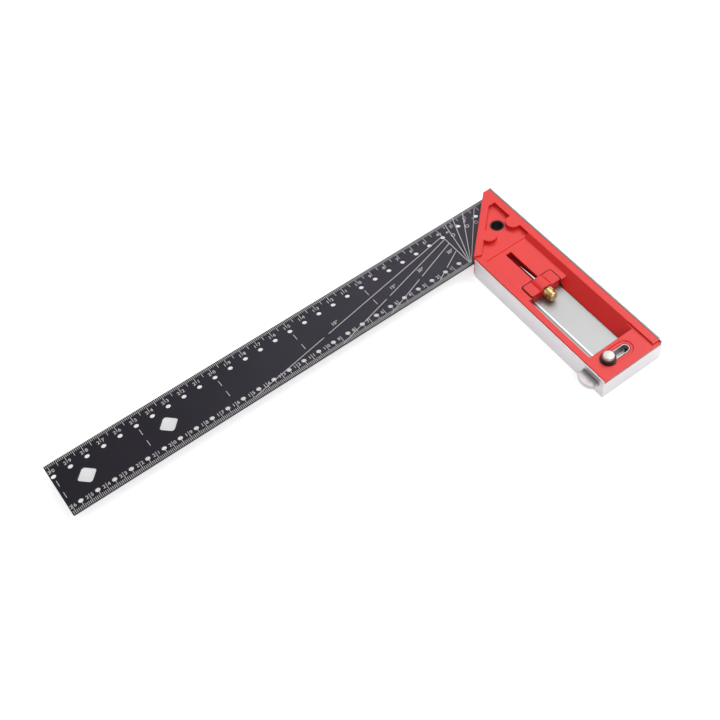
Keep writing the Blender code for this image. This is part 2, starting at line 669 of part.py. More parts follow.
def make_cover_screw(number, centre, material):
    profile = [(0, SCREW_TOP), (SCREW_RADIUS, SCREW_TOP), (SCREW_RADIUS, SCREW_HEAD_TOP),
               (SCREW_HEAD_RADIUS, SCREW_HEAD_TOP), (SCREW_HEAD_RADIUS, SCREW_SINK),
               (SCREW_SOCKET, SCREW_SINK), (SCREW_SOCKET, SCREW_SINK + SCREW_SOCKET),
               (0, SCREW_SINK + SCREW_SOCKET)]
    screw = turned(f"cover_screw_{number}", profile, (*centre, 0), PARTS, material)
    screw.modifiers["turn"].steps = SMALL_STEPS
    screw.modifiers["turn"].render_steps = SMALL_STEPS
    return screw


def make_blade_rivet(number, centre, material):
    head_low = BLADE_TOP + FIT
    head_top = head_low + RIVET_HEAD_HEIGHT
    profile = [(0, head_top), (RIVET_CROWN_RADIUS, head_top), (RIVET_HEAD_RADIUS, head_low),
               (RIVET_RADIUS, head_low), (RIVET_RADIUS, WEB_LOW), (0, WEB_LOW)]
    rivet = turned(f"blade_rivet_{number}", profile, (*centre, 0), PARTS, material)
    rivet.modifiers["turn"].steps = SMALL_STEPS
    rivet.modifiers["turn"].render_steps = SMALL_STEPS
    return rivet


def main():
    anodised = new_material("black_anodised", (0.030, 0.029, 0.034), 0.42, 0.85)
    aluminium = new_material("cast_aluminium", (0.62, 0.61, 0.63), 0.42, 0.95)
    red = new_material("red_abs", (0.80, 0.055, 0.050), 0.38, 0.0)
    dark_red = new_material("dark_red_abs", (0.70, 0.045, 0.042), 0.42, 0.0)
    steel = new_material("polished_steel", (0.72, 0.72, 0.73), 0.18, 1.0)
    brass = new_material("brass", (0.80, 0.57, 0.26), 0.28, 1.0)
    chrome = new_material("chrome", (0.78, 0.77, 0.76), 0.10, 1.0)
    zinc = new_material("zinc_plate", (0.55, 0.56, 0.58), 0.35, 1.0)
    nylon = new_material("black_nylon", (0.012, 0.012, 0.012), 0.50, 0.0)
    rubber = new_material("grey_rubber", (0.08, 0.08, 0.08), 0.80, 0.0)

    make_blade(anodised)
    make_handle_body(aluminium)
    make_top_cover(red)
    make_bottom_cover(red)
    make_hang_eyelet(nylon)
    make_scriber_clip(dark_red)
    make_sleeve(rubber)
    make_needle(steel)
    make_scriber_knob(brass)
    make_ledge_bar(zinc)
    make_slot_liner(zinc)
    make_thumbscrew(chrome)
    make_washer(nylon)
    for number, centre in enumerate(COVER_SCREWS):
        make_cover_screw(number + 1, centre, zinc)
    for number, centre in enumerate(RIVETS):
        make_blade_rivet(number + 1, centre, zinc)


main()
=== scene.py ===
"""The looks of a carpenter's try and mitre square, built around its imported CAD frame.

The file is laid out as an add-on: property groups hold the sizes and colours, each piece or group of
like pieces has an operator, and a panel lists them. Run as a script, it makes the whole square.
"""

import json
import math

import bmesh
import bpy
from bpy.props import FloatProperty, FloatVectorProperty, IntProperty, PointerProperty
from mathutils import Matrix, Vector

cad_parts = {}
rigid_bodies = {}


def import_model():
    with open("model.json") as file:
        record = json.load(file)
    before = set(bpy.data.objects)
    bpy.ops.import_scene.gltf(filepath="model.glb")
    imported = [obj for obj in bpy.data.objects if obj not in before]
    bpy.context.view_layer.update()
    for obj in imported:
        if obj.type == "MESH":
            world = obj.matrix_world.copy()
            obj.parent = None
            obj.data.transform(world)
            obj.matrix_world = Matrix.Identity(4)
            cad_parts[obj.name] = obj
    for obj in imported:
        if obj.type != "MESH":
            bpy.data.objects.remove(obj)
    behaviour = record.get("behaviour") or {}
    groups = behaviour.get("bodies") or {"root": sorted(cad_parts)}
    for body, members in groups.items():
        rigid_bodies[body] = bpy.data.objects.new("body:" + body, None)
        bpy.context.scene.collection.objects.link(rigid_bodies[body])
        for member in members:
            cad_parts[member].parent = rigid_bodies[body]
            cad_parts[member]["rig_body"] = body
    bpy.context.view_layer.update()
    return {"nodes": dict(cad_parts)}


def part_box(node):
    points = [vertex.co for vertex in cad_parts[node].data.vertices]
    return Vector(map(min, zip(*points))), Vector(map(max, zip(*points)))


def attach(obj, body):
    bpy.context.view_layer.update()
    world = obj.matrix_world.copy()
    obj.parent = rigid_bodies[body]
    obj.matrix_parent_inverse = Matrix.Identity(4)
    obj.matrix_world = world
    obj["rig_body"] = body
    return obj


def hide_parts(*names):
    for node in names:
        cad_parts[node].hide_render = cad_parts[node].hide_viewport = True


bl_info = {
    "name": "Try and Mitre Square",
    "version": (1, 0, 0),
    "blender": (4, 5, 0),
    "location": "View3D > Sidebar > Square",
    "description": "Builds the visible pieces of a carpenter's try and mitre square",
    "category": "Add Mesh",
}

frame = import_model()

MM = 0.001
SEWN_WITHIN = 0.002 * MM  # corners closer than this are one corner

# Places that the frame gives
BLADE_LOW, BLADE_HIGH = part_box("blade")
HANDLE_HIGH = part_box("handle_body")[1]
KNOB_LOW, KNOB_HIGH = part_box("scriber_knob")
NEEDLE_LOW, NEEDLE_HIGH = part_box("scriber_needle")
THUMB_LOW, THUMB_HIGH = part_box("ledge_knob")
LEDGE_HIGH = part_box("ledge_bar")[1]
WASHER_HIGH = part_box("ledge_washer")[1]
CLIP_LOW, CLIP_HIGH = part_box("scriber_clip")
EYELET_LOW, EYELET_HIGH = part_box("hang_eyelet")
FENCE_X = HANDLE_HIGH.x
SCALE_ZERO = FENCE_X - 40 * MM  # the outer scale's zero; the inner scale starts at the fence
OUTER_EDGE = BLADE_LOW.y
INNER_EDGE = BLADE_HIGH.y
BLADE_TOP = BLADE_HIGH.z


def blade_point(x, y):
    """A point of the blade's plan, in millimetres from the outer scale's zero and the outer edge."""
    return Vector((SCALE_ZERO + x * MM, OUTER_EDGE + y * MM))


# Sizes and colours

def size(name, text, default):
    return FloatProperty(name=name, description=text, default=default, unit="LENGTH", precision=5)


def amount(name, text, default):
    return FloatProperty(name=name, description=text, default=default, min=0.0)


def power(name, text, default):
    return FloatProperty(name=name, description=text, default=default, min=0.0, unit="POWER")


def colour(name, text, default):
    return FloatVectorProperty(name=name, description=text, default=default, subtype="COLOR", size=3,
                               min=0.0, max=1.0)


class SquareBladeSettings(bpy.types.PropertyGroup):
    edge_bevel: size("Edge bevel", "Rounding of the blade's edges", 0.12 * MM)
    mark_width: size("Mark width", "Width of an engraved millimetre mark", 0.30 * MM)
    line_width: size("Line width", "Width of an engraved angle line", 0.40 * MM)
    mark_height: size("Mark height", "How far the filled engraving stands on the blade", 0.02 * MM)
    digit_size: size("Digit size", "Height of the scale's digits", 3.1 * MM)
    black: colour("Black", "Anodised surface", (0.040, 0.037, 0.047))
    mark: colour("Mark", "Filled engraving", (0.60, 0.58, 0.58))


class SquareHandleSettings(bpy.types.PropertyGroup):
    red: colour("Red", "Moulded covers", (0.84, 0.024, 0.020))
    clip_red: colour("Clip red", "Scriber clip", (0.80, 0.020, 0.018))
    aluminium: colour("Aluminium", "Handle body", (0.68, 0.655, 0.675))
    web: colour("Web", "Milled floor of the finger window", (0.345, 0.358, 0.355))
    # Painted shade for the top edges of the handle's walls.
    sawn: colour("Shaded edge", "Top edges of the handle's walls", (0.25, 0.29, 0.28))
    metal_bevel: size("Metal bevel", "Rounding of the handle body's edges", 0.18 * MM)
    cover_bevel: size("Cover bevel", "Rounding of the covers' edges", 0.30 * MM)


class SquareFittingSettings(bpy.types.PropertyGroup):
    brass: colour("Brass", "Scriber knob", (0.86, 0.62, 0.30))
    steel: colour("Steel", "Scriber needle", (0.74, 0.74, 0.75))
    chrome: colour("Chrome", "Thumbscrew", (0.50, 0.475, 0.445))
    zinc: colour("Zinc", "Ledge and fasteners", (0.56, 0.52, 0.53))
    black: colour("Black", "Washer", (0.010, 0.010, 0.010))
    rubber: colour("Rubber", "Scriber sleeve", (0.07, 0.07, 0.07))
    knurl_ribs: IntProperty(name="Knurl ribs", description="Ribs round the scriber knob", default=24)


class SquareStageSettings(bpy.types.PropertyGroup):
    floor: colour("Floor", "Pale studio floor", (0.92, 0.92, 0.92))
    light_height: size("Light height", "Height of the three softboxes", 1.0)
    floor_glow: amount("Floor glow", "Light that the backdrop gives", 0.55)
    surround: amount("Surround", "Brightness of the white room", 0.38)
    side_power: power("Side power", "Softbox beside the handle", 6.8)
    back_power: power("Back power", "Softbox behind the blade", 4.5)
    front_power: power("Front power", "Softbox by the camera", 6.3)


# Node trees

class Wire:
    """A socket whose arithmetic adds Math nodes, so that a mask is written as an expression."""

    def __init__(self, nodes, socket):
        self.nodes = nodes
        self.socket = socket

    def _math(self, operation, first, second):
        return self.nodes.add("ShaderNodeMath", {"operation": operation}, {0: first, 1: second})

    def __add__(self, other):
        return self._math("ADD", self, other)

    def __radd__(self, other):
        return self._math("ADD", other, self)

    def __sub__(self, other):
        return self._math("SUBTRACT", self, other)

    def __rsub__(self, other):
        return self._math("SUBTRACT", other, self)

    def __mul__(self, other):
        return self._math("MULTIPLY", self, other)

    def __rmul__(self, other):
        return self._math("MULTIPLY", other, self)

    def __mod__(self, other):
        return self._math("FLOORED_MODULO", self, other)

    def __rmod__(self, other):
        return self._math("FLOORED_MODULO", other, self)

    def __lt__(self, other):
        return self._math("LESS_THAN", self, other)

    def __gt__(self, other):
        return self._math("GREATER_THAN", self, other)


class Nodes:
    """A node tree, and the one method that adds a node to it."""

    def __init__(self, tree):
        self.tree = tree

    def add(self, kind, settings=None, values=None, output=0):
        node = self.tree.nodes.new(kind)
        for name, setting in (settings or {}).items():
            setattr(node, name, setting)
        for name, value in (values or {}).items():
            self.feed(node.inputs[name], value)
        return Wire(self, node.outputs[output])

    def feed(self, socket, value):
        if isinstance(value, Wire):
            self.tree.links.new(value.socket, socket)
        else:
            socket.default_value = value


class Finish(Nodes):
    """A Principled material, with shorthands for what its finishes share."""

    def __init__(self, name, roughness, metallic):
        self.material = bpy.data.materials.new(name)
        self.material.use_nodes = True
        super().__init__(self.material.node_tree)
        self.shader = self.tree.nodes["Principled BSDF"]
        self.shader.inputs["Roughness"].default_value = roughness
        self.shader.inputs["Metallic"].default_value = metallic
        self.place = self.add("ShaderNodeTexCoord", output="Object")

    def set(self, name, value):
        self.feed(self.shader.inputs[name], value)

    def stretched(self, scale):
        return self.add("ShaderNodeMapping", None, {"Vector": self.place, "Scale": scale})

    def part(self, axis, vector=None):
        return self.add("ShaderNodeSeparateXYZ", None, {"Vector": vector or self.place}, axis)

    def noise(self, scale, detail=2.0, vector=None):
        values = {"Vector": vector or self.place, "Scale": scale, "Detail": detail}
        return self.add("ShaderNodeTexNoise", None, values, "Fac")

    def mix(self, factor, first, second):
        """A colour between two colours."""
        values = {"Factor": factor, 6: first, 7: second}
        return self.add("ShaderNodeMix", {"data_type": "RGBA"}, values, 2)

    def bump(self, height, distance, strength=1.0):
        values = {"Height": height, "Distance": distance, "Strength": strength}
        self.set("Normal", self.add("ShaderNodeBump", None, values))


def shade(rgb, factor):
    return (*(min(1.0, c * factor) for c in rgb), 1.0)


# Finishes

# The scriber's slot in the red cover: half its width, how far it goes past the needle, and the level below
# which it gets painted shade
KNOB_MIDDLE = (KNOB_LOW + KNOB_HIGH) / 2
SLOT_REACH = 3 * MM
SLOT_AHEAD = 14 * MM
SLOT_SHADE_BELOW = KNOB_HIGH.z - 2.4 * MM
# The aluminium's top edges, which get painted shade, and the painted highlight and painted shadow line on
# the finger window's floor
TOP_SHADE_ABOVE = HANDLE_HIGH.z - 0.6 * MM
TOP_SHADE_UNTIL = HANDLE_HIGH.y - 2 * MM
SIDE_HIGHLIGHT = (FENCE_X - 11.6 * MM, FENCE_X - 10.9 * MM)
END_HIGHLIGHT = (HANDLE_HIGH.y - 19.7 * MM, HANDLE_HIGH.y - 18.6 * MM)
SHADOW_LINE = (FENCE_X - 10.6 * MM, FENCE_X - 9.4 * MM)
HIGHLIGHT_COLOUR = (0.95, 0.95, 0.95, 1.0)


def red_plastic(name, red):
    """Satin moulded ABS: fine spark-eroded grain, faint flow variation, painted shade on upright walls and
    painted shade in the scriber's slot.
    """
    finish = Finish(name, 0.36, 0.0)
    flow = finish.noise(35.0, 3.0)
    grain = finish.noise(4200.0, 3.0)
    tint = finish.mix(flow, shade(red, 0.93), shade(red, 1.06))
    speckled = finish.mix(grain * 0.25, tint, shade(red, 0.82))
    # Upright walls get painted shade: their red is mixed towards half its brightness.
    upward = finish.part("Z", finish.add("ShaderNodeNewGeometry", output="Normal"))
    upright = (upward < 0.3) * (upward > -0.3)
    wall_shaded = finish.mix(upright * 0.6, speckled, shade(red, 0.5))
    # Painted shade in the scriber's slot: below that level its red is mixed towards near black.
    across = finish.part("X")
    in_slot = (across > KNOB_MIDDLE.x - SLOT_REACH) * (across < KNOB_MIDDLE.x + SLOT_REACH)
    along = finish.part("Y")
    behind = (along < CLIP_LOW.y) * (along > NEEDLE_LOW.y - SLOT_AHEAD)
    slot_shade = in_slot * behind * (finish.part("Z") < SLOT_SHADE_BELOW)
    finish.set("Base Color", finish.mix(slot_shade * 0.55, wall_shaded, shade(red, 0.08)))
    finish.set("Roughness", 0.30 + grain * 0.16)
    finish.bump(grain + flow * 0.2, 0.02 * MM, 0.55)
    return finish.material


def black_anodised(black):
    """Anodised sheet: rolled grain along the blade and a little cloudiness."""
    finish = Finish("black_anodised_sheet", 0.40, 1.0)
    rolled = finish.noise(260.0, 4.0, finish.stretched((1.0, 14.0, 14.0)))
    cloud = finish.noise(45.0, 2.0)
    tint = finish.mix(cloud, shade(black, 0.85), shade(black, 1.20))
    finish.set("Base Color", finish.mix(rolled * 0.4, tint, shade(black, 1.45)))
    finish.set("Roughness", 0.34 + rolled * 0.16)
    finish.bump(rolled, 0.008 * MM, 0.5)
    return finish.material


def engraved_fill(mark):
    """Pale paint in the engraving, a little uneven."""
    finish = Finish("engraved_fill", 0.55, 0.0)
    patch = finish.noise(900.0, 2.0)
    finish.set("Base Color", finish.mix(patch, shade(mark, 0.80), shade(mark, 1.15)))
    finish.set("Roughness", 0.48 + patch * 0.14)
    return finish.material


def brushed_metal(name, metal, along, roughness):
    """Satin metal with fine lines one way and a faint cloudiness; gives the finish and its colour."""
    finish = Finish(name, roughness, 0.9)
    lines = finish.noise(60.0, 4.0, finish.stretched(along))
    cloud = finish.noise(28.0, 2.0)
    tint = finish.mix(cloud, shade(metal, 0.94), shade(metal, 1.05))
    brushed = finish.mix(lines * 0.8, tint, shade(metal, 0.80))
    finish.set("Base Color", brushed)
    finish.set("Roughness", roughness - 0.06 + lines * 0.16)
    finish.bump(lines, 0.006 * MM, 0.5)
    return finish, brushed


def handle_aluminium(settings):
    """Brushed along the fence, with painted shade on the top edges, and a milled web with a painted
    highlight along its side and end and a painted shadow line beside the side.
    """
    finish, brushed = brushed_metal("handle_aluminium", settings.aluminium, (50.0, 1.0, 50.0), 0.42)
    upward = finish.part("Z", finish.add("ShaderNodeNewGeometry", output="Normal"))
    height, across, along = finish.part("Z"), finish.part("X"), finish.part("Y")
    web = (upward > 0.5) * (height < BLADE_LOW.z)
    # A painted highlight along the web's side and end, and a painted shadow line beside it.
    side = (across > SIDE_HIGHLIGHT[0]) * (across < SIDE_HIGHLIGHT[1]) * (along < END_HIGHLIGHT[1])
    end = (along > END_HIGHLIGHT[0]) * (along < END_HIGHLIGHT[1]) * (across < SIDE_HIGHLIGHT[1])
    shadow_line = (across > SHADOW_LINE[0]) * (across < SHADOW_LINE[1])
    milled = finish.mix(web * 0.85, brushed, shade(settings.web, 1.0))
    highlighted = finish.mix(web * (1 - (1 - side) * (1 - end)), milled, HIGHLIGHT_COLOUR)
    shadow_lined = finish.mix(web * shadow_line, highlighted, shade(settings.web, 0.62))
    # The walls' top edges get painted shade.
    sawn = (height > TOP_SHADE_ABOVE) * (along < TOP_SHADE_UNTIL)
    finish.set("Base Color", finish.mix(sawn, shadow_lined, shade(settings.sawn, 1.0)))
    return finish.material


def turned_metal(name, metal, roughness, rings, axis):
    """A turned surface: fine tool rings across the axis, and small scratches."""
    finish = Finish(name, roughness, 1.0)
    wave = finish.add("ShaderNodeMath", {"operation": "SINE"}, {0: finish.part(axis) * rings})
    scratch = finish.noise(2600.0, 3.0)
    finish.set("Base Color", finish.mix(scratch, shade(metal, 0.90), shade(metal, 1.06)))
    finish.set("Roughness", roughness - 0.03 + scratch * 0.12)
    finish.bump(wave * 0.5 + scratch, 0.006 * MM, 0.4)
    return finish.material


def plain_fine(name, base, roughness, grain_scale, grain_depth):
    """A matt moulded or rubbery surface with a fine grain."""
    finish = Finish(name, roughness, 0.0)
    grain = finish.noise(grain_scale, 3.0)
    finish.set("Base Color", finish.mix(grain, shade(base, 0.8), shade(base, 1.3)))
    finish.set("Roughness", roughness - 0.08 + grain * 0.16)
    finish.bump(grain, grain_depth)
    return finish.material


# Meshes

def link(name, mesh, material=None):
    piece = bpy.data.objects.new(name, mesh)
    bpy.context.scene.collection.objects.link(piece)
    if material:
        mesh.materials.clear()
        mesh.materials.append(material)
    return piece


def settled(piece):
    """The piece's evaluated mesh in place of its live modifiers."""
    bpy.context.view_layer.update()
    graph = bpy.context.evaluated_depsgraph_get()
    mesh = bpy.data.meshes.new_from_object(piece.evaluated_get(graph))
    piece.modifiers.clear()
    piece.data = mesh
    return piece


def merged_copy(node, name):
    """A copy of a CAD node's mesh, sewn together, with its flat faces in one piece each."""
    mesh = frame["nodes"][node].data.copy()
    mesh.name = name
    shape = bmesh.new()
    shape.from_mesh(mesh)
    bmesh.ops.remove_doubles(shape, verts=shape.verts, dist=SEWN_WITHIN)
    bmesh.ops.dissolve_limit(shape, angle_limit=math.radians(0.5), verts=shape.verts, edges=shape.edges)
    shape.to_mesh(mesh)
    shape.free()
    return mesh


def bevel(piece, width, segments=2, angle=30):
    """Rounded edges, with the normals of the flat faces kept true."""
    piece.data.shade_smooth()
    rounding = piece.modifiers.new("rounding", "BEVEL")
    rounding.width = width
    rounding.segments = segments
    rounding.limit_method = "ANGLE"
    rounding.angle_limit = math.radians(angle)
    rounding.use_clamp_overlap = False
    even = piece.modifiers.new("even_normals", "WEIGHTED_NORMAL")
    even.mode = "FACE_AREA"
    even.weight = 80
    return settled(piece)


def smooth(piece, angle=35):
    piece.data.shade_smooth()
    piece.data.set_sharp_from_angle(angle=math.radians(angle))
    return piece


def refined(node, name, material, width, segments=2):
    """A CAD node's shape with its edges rounded, which then stands for the node."""
    piece = link(name, merged_copy(node, name), material)
    bevel(piece, width, segments)
    return stand_for(piece, node)


def stand_for(piece, *nodes):
    """The piece rides on its nodes' body and hides them."""
    body = frame["nodes"][nodes[0]]["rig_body"]
    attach(piece, body)
    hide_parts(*nodes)
    return piece


def joined(name, meshes, material):
    """One mesh made of several, in place."""
    shape = bmesh.new()
    for mesh in meshes:
        shape.from_mesh(mesh)
    whole = bpy.data.meshes.new(name)
    shape.to_mesh(whole)
    shape.free()
    return link(name, whole, material)


def slab(points, low, high):
    """A flat solid with this outline, between two levels."""
    mesh = bpy.data.meshes.new("slab")
    shape = bmesh.new()
    face = shape.faces.new([shape.verts.new((x, y, low)) for x, y in points])
    made = bmesh.ops.extrude_face_region(shape, geom=[face])
    moved = [v for v in made["geom"] if isinstance(v, bmesh.types.BMVert)]
    bmesh.ops.translate(shape, verts=moved, vec=(0, 0, high - low))
    bmesh.ops.recalc_face_normals(shape, faces=shape.faces)
    shape.to_mesh(mesh)
    shape.free()
    return mesh


def stroke(start, end, width, low, high):
    """A straight engraved line between two plan points."""
    start, end = Vector(start), Vector(end)
    side = (end - start).normalized().orthogonal() * width / 2
    return slab([start - side, end - side, end + side, start + side], low, high)


def ring(centre, radius, width, low, high, steps=24):
    """A flat ring round a plan point."""
    inner = radius - width
    profile = [(inner, low), (radius, low), (radius, high), (inner, high), (inner, low)]
    return turned("ring", profile, Vector((centre.x, centre.y, 0)), Matrix(), steps)


def turned(name, profile, centre, turn, steps=64):
    """A solid turned about Z from (radius, height) pairs, then placed."""
    mesh = bpy.data.meshes.new(name)
    shape = bmesh.new()
    line = [shape.verts.new((radius, 0, height)) for radius, height in profile]
    edges = [shape.edges.new(pair) for pair in zip(line, line[1:])]
    bmesh.ops.spin(shape, geom=line + edges, cent=(0, 0, 0), axis=(0, 0, 1), angle=math.tau, steps=steps,
                   use_duplicate=False)
    bmesh.ops.remove_doubles(shape, verts=shape.verts, dist=SEWN_WITHIN)
    bmesh.ops.recalc_face_normals(shape, faces=shape.faces)
    bmesh.ops.transform(shape, matrix=Matrix.Translation(centre) @ turn, verts=shape.verts)
    shape.to_mesh(mesh)
    shape.free()
    return mesh


# Geometry node trees

class Maker(Nodes):
    """A geometry node tree with named inputs, run once on a piece."""

    def __init__(self, name):
        super().__init__(bpy.data.node_groups.new(name, "GeometryNodeTree"))
        self.tree.interface.new_socket(name="Geometry", in_out="INPUT", socket_type="NodeSocketGeometry")
        self.tree.interface.new_socket(name="Geometry", in_out="OUTPUT", socket_type="NodeSocketGeometry")
        self.given = self.tree.nodes.new("NodeGroupInput")
        self.result = self.tree.nodes.new("NodeGroupOutput")
        self.values = {}

    def number(self, name, value, kind="NodeSocketFloat"):
        socket = self.tree.interface.new_socket(name=name, in_out="INPUT", socket_type=kind)
        self.values[socket.identifier] = value
        return Wire(self, self.given.outputs[name])

    def finish(self, geometry, material):
        whole = self.add("GeometryNodeRealizeInstances", None, {"Geometry": geometry})
        dressed = self.add("GeometryNodeSetMaterial", None, {"Geometry": whole, "Material": material})
        self.tree.links.new(dressed.socket, self.result.inputs["Geometry"])

    def run(self, piece):
        modifier = piece.modifiers.new(self.tree.name, "NODES")
        modifier.node_group = self.tree
        for identifier, value in self.values.items():
            modifier[identifier] = value
        return settled(piece)


def tick_row(name, material, ticks, edge, inward, lengths, settings):
    """A row of scale marks along an edge: every fifth and every tenth is longer."""
    maker = Maker(name)
    start = maker.number("First", ticks[0], "NodeSocketInt")
    number = maker.number("Count", ticks[1], "NodeSocketInt")
    step = maker.number("Step", 1 * MM)
    mark_width = maker.number("Mark width", settings.mark_width)
    mark_height = maker.number("Mark height", settings.mark_height)
    short = maker.number("Short", lengths[0])
    half = maker.number("Half", lengths[1])
    full = maker.number("Full", lengths[2])
    place = maker.add("ShaderNodeCombineXYZ", None, {"X": start * step + edge.x, "Y": edge.y, "Z": edge.z})
    offset = maker.add("ShaderNodeCombineXYZ", None, {"X": step})
    line = maker.add("GeometryNodeMeshLine", None,
                     {"Count": number, "Start Location": place, "Offset": offset})
    index = maker.add("GeometryNodeInputIndex") + start
    fifth = (index % 5.0) < 0.5
    tenth = (index % 10.0) < 0.5
    length = short + fifth * (half - short) + tenth * (full - half)
    block = maker.add("GeometryNodeMeshCube", None, {"Size": (1.0, 1.0, 1.0)})
    anchored = maker.add("GeometryNodeTransform", None,
                         {"Geometry": block, "Translation": (0, 0.5 * inward, 0)})
    scale = maker.add("ShaderNodeCombineXYZ", None, {"X": mark_width, "Y": length, "Z": mark_height})
    marks = maker.add("GeometryNodeInstanceOnPoints", None,
                      {"Points": line, "Instance": anchored, "Scale": scale})
    maker.finish(marks, material)
    return maker.run(link(name, bpy.data.meshes.new(name)))


def ribs_round(name, material, count, radius, length, depth, centre):
    """Small ridges round a knob that lies along Y."""
    maker = Maker(name)
    number = maker.number("Ribs", count, "NodeSocketInt")
    rib = maker.add("GeometryNodeMeshCone", None,
                    {"Vertices": 4, "Side Segments": 1, "Radius Top": depth * 0.45,
                     "Radius Bottom": depth, "Depth": length})
    laid = maker.add("GeometryNodeTransform", None,
                     {"Geometry": rib, "Rotation": (math.pi / 2, 0, 0),
                      "Translation": (radius, length / 2, 0)})
    line = maker.add("GeometryNodeMeshLine", None,
                     {"Count": number, "Start Location": tuple(centre), "Offset": (0, 0, 0)})
    angle = maker.add("GeometryNodeInputIndex") * (math.tau / count)
    turn = maker.add("ShaderNodeCombineXYZ", None, {"Y": angle})
    ribs = maker.add("GeometryNodeInstanceOnPoints", None,
                     {"Points": line, "Instance": laid, "Rotation": turn})
    maker.finish(ribs, material)
    return maker.run(link(name, bpy.data.meshes.new(name)))


# Blade

# All places on the blade are in millimetres from the outer scale's zero and the outer edge.
INNER_ZERO = 40.0
OUTER_LAST = 30
INNER_LAST = 26
OUTER_TICKS = (4, 298)  # the first mark and how many there are
INNER_TICKS = (1, 261)
OUTER_TICK_LENGTHS = (2.1 * MM, 4.4 * MM, 5.9 * MM)  # each millimetre, each fifth, each tenth
INNER_TICK_LENGTHS = (2.3 * MM, 4.3 * MM, 6.4 * MM)
TICK_INSET = 0.15 * MM
OUTER_DIGIT_ROW = 5.5
INNER_DIGIT_ROW = 31.6
DIGIT_OFFSET = 1.45
LAST_DIGIT = 300.8  # the middle of the figure nearest the tip
DIGIT_WEIGHT = 0.012  # how much bolder than the typeface, as a share of the height


class SQUARE_OT_blade(bpy.types.Operator):
    """Make the perforated blade"""
    bl_idname = "square.blade"
    bl_label = "Blade"

    def execute(self, context):
        settings = context.scene.square_blade
        material = black_anodised(settings.black)
        refined("blade", "rule_blade", material, settings.edge_bevel)
        return {"FINISHED"}


class SQUARE_OT_marks(bpy.types.Operator):
    """Engrave the scales, the angle lines and the digits"""
    bl_idname = "square.marks"
    bl_label = "Engraving"

    def execute(self, context):
        settings = context.scene.square_blade
        fill = engraved_fill(settings.mark)
        top = BLADE_TOP + settings.mark_height / 2
        outer_zero = Vector((SCALE_ZERO, OUTER_EDGE + TICK_INSET, top))
        outer = tick_row("outer_scale", fill, OUTER_TICKS, outer_zero, 1, OUTER_TICK_LENGTHS, settings)
        inner_zero = Vector((FENCE_X, INNER_EDGE - TICK_INSET, top))
        inner = tick_row("inner_scale", fill, INNER_TICKS, inner_zero, -1, INNER_TICK_LENGTHS, settings)
        lines = joined("angle_lines", angle_lines(settings), fill)
        digits = joined("scale_digits", scale_digits(settings), fill)
        for piece in (outer, inner, lines, digits):
            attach(piece, "root")
        return {"FINISHED"}


ROOF_LINES = (
    ((41.7, 8.4), (134.0, 24.6)), ((137.5, 25.2), (189.6, 34.4)),
    ((40.2, 10.9), (90.8, 24.7)), ((93.8, 25.5), (131.0, 35.6)),
    ((40.2, 15.2), (67.8, 25.1)), ((70.4, 26.0), (98.0, 35.8)),
    ((40.7, 22.6), (52.5, 29.2)), ((54.5, 30.3), (61.5, 34.2)),
)
ANGLE_LABELS = (("10°", 127.0), ("15°", 85.7), ("20°", 65.5), ("30°", 43.6))
LABEL_ROW = 20.6
FAN_CENTRE = (40.0, 36.3)
FAN_ENDS = ((40.0, 1.0), (32.8, 0.8), (26.4, 0.6), (18.7, 0.6), (11.0, 2.6))
FAN_LABELS = (("90", 40.0, 5.6), ("80", 35.6, 7.6), ("70", 28.2, 6.6), ("60", 22.4, 7.4), ("50", 16.4, 8.6))
RINGS = ((34.3, 11.5), (23.4, 11.3), (17.3, 12.3))
RING_RADIUS = 1.25
FAN_DIGIT_SHARE = 0.6
DASH_PLACES = (300, 250, 200, 150, 100)
DASH_ROWS = ((12.2, 16.4), (20.8, 25.0))
DASH_SHARE = 1.2  # how wide a cross dash is beside a millimetre mark


def angle_lines(settings):
    """The roof angles, the protractor fan from the inner corner, its rings and the cross dashes."""
    low = BLADE_TOP
    high = BLADE_TOP + settings.mark_height
    made = []

    def line(start, end, thick=settings.line_width):
        made.append(stroke(blade_point(*start), blade_point(*end), thick, low, high))

    for start, end in ROOF_LINES:
        line(start, end)
    for end in FAN_ENDS:
        line(FAN_CENTRE, end)
    for x in DASH_PLACES:
        for near, far in DASH_ROWS:
            line((x, near), (x, far), settings.mark_width * DASH_SHARE)
    for centre in RINGS:
        made.append(ring(blade_point(*centre), RING_RADIUS * MM, settings.line_width, low, high))
    return made


def digit_mesh(text, height, plan, thickness):
    """A number as a thin solid, its middle on a plan point, to be read from the handle's side."""
    curve = bpy.data.curves.new("digits", "FONT")
    curve.body = text
    curve.size = height
    curve.align_x = "CENTER"
    curve.align_y = "CENTER"
    curve.extrude = thickness / 2
    curve.offset = DIGIT_WEIGHT * height
    curve.resolution_u = 3
    holder = link("digits", curve)
    bpy.context.view_layer.update()
    graph = bpy.context.evaluated_depsgraph_get()
    mesh = bpy.data.meshes.new_from_object(holder.evaluated_get(graph))
    bpy.data.objects.remove(holder)
    place = Matrix.Translation((plan.x, plan.y, BLADE_TOP + thickness / 2))
    mesh.transform(place @ Matrix.Rotation(math.pi, 4, "Z"))
    return mesh


def scale_digits(settings):
    """Each number has its figures on either side of its mark, and reads from the handle's side."""
    made = []

    def write(text, x, y, height=settings.digit_size):
        made.append(digit_mesh(text, height, blade_point(x, y), settings.mark_height))

    def write_number(number, x, y):
        for text, side in zip(str(number), (DIGIT_OFFSET, -DIGIT_OFFSET)):
            write(text, min(x + side, LAST_DIGIT), y)

    for number in range(2, OUTER_LAST + 1):
        write_number(number, number * 10, OUTER_DIGIT_ROW)
    for number in range(1, INNER_LAST + 1):
        write_number(number, INNER_ZERO + number * 10, INNER_DIGIT_ROW)
    for text, x in ANGLE_LABELS:
        write(text, x, LABEL_ROW)
    for text, x, y in FAN_LABELS:
        write(text, x, y, settings.digit_size * FAN_DIGIT_SHARE)
    return made


# Handle

EYELET_GROWTH = 0.25 * MM  # how much wider it is than the frame's, to meet the red plastic
EYELET_TUBE = 0.8 * MM
EYELET_DROP = 0.1 * MM
EYELET_CHAMFER = 0.2 * MM


